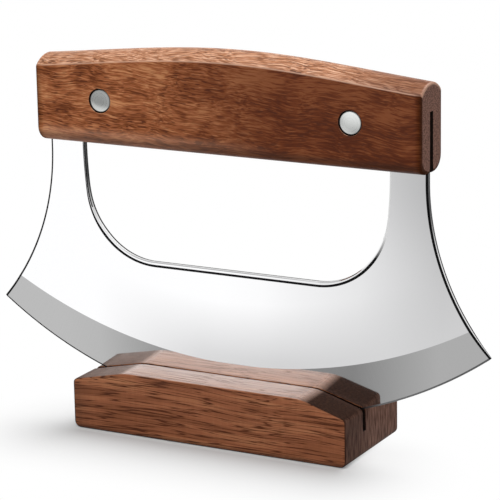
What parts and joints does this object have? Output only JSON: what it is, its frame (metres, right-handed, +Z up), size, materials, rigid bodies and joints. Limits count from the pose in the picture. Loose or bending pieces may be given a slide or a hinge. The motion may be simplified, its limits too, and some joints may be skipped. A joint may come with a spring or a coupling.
{
  "type": "ulu knife with stand",
  "caption": "Rocking kitchen knife with a crescent steel blade, finger opening and riveted wooden handle, standing on its edge in a slotted wooden block.",
  "frame": {"origin": "centre of the footprint, under the middle of the blade, on the surface that the stand rests on", "axes": "+X along the blade to the right as seen from the front, +Y from the front to the back, +Z up"},
  "size_m": [0.178, 0.039, 0.1283],
  "materials": {
    "stand_wood": "oiled dark hardwood, straight grain",
    "handle_wood": "oiled figured hardwood, open pores",
    "blade_steel": "polished flanks, satin ground bevel",
    "rivet_metal": "satin domed heads"
  },
  "bodies": {
    "stand": {"stand": "stand_wood"},
    "knife": {"blade": "blade_steel", "handle": "handle_wood", "rivet_tube_left": "rivet_metal", "rivet_pin_left": "rivet_metal", "rivet_tube_right": "rivet_metal", "rivet_pin_right": "rivet_metal"}
  },
  "joints": [
    {"name": "knife_lift", "type": "slide", "parent": "stand", "child": "knife", "axis": [0, 0, 1], "range_m": [0, 0.03]}
  ]
}
